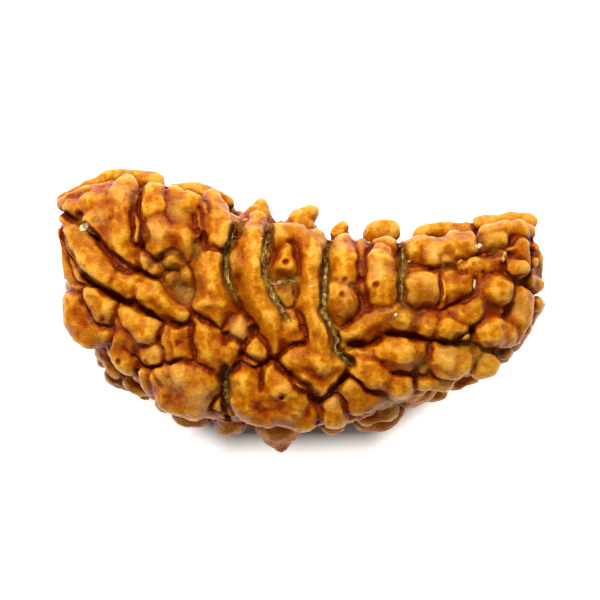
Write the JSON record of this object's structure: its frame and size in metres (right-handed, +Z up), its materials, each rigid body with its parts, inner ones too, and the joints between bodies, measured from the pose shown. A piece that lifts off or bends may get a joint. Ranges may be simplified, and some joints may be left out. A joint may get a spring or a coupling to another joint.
{
  "type": "rudraksha bead",
  "caption": "Half-moon rudraksha seed stone covered in knobbly lobes and deep grooves, used as a natural bead or pendant stone.",
  "frame": {"origin": "centre of the bead's box in plan, on the surface that it lies on", "axes": "+X along the bead, from its broad end to its narrow end; +Y towards its hollow edge; +Z up, out of the shown broad face"},
  "size_m": [0.0296, 0.017, 0.0109],
  "materials": {
    "seed_stone": "satin"
  },
  "bodies": {
    "root": {"rudraksha_bead": "seed_stone"}
  },
  "joints": []
}
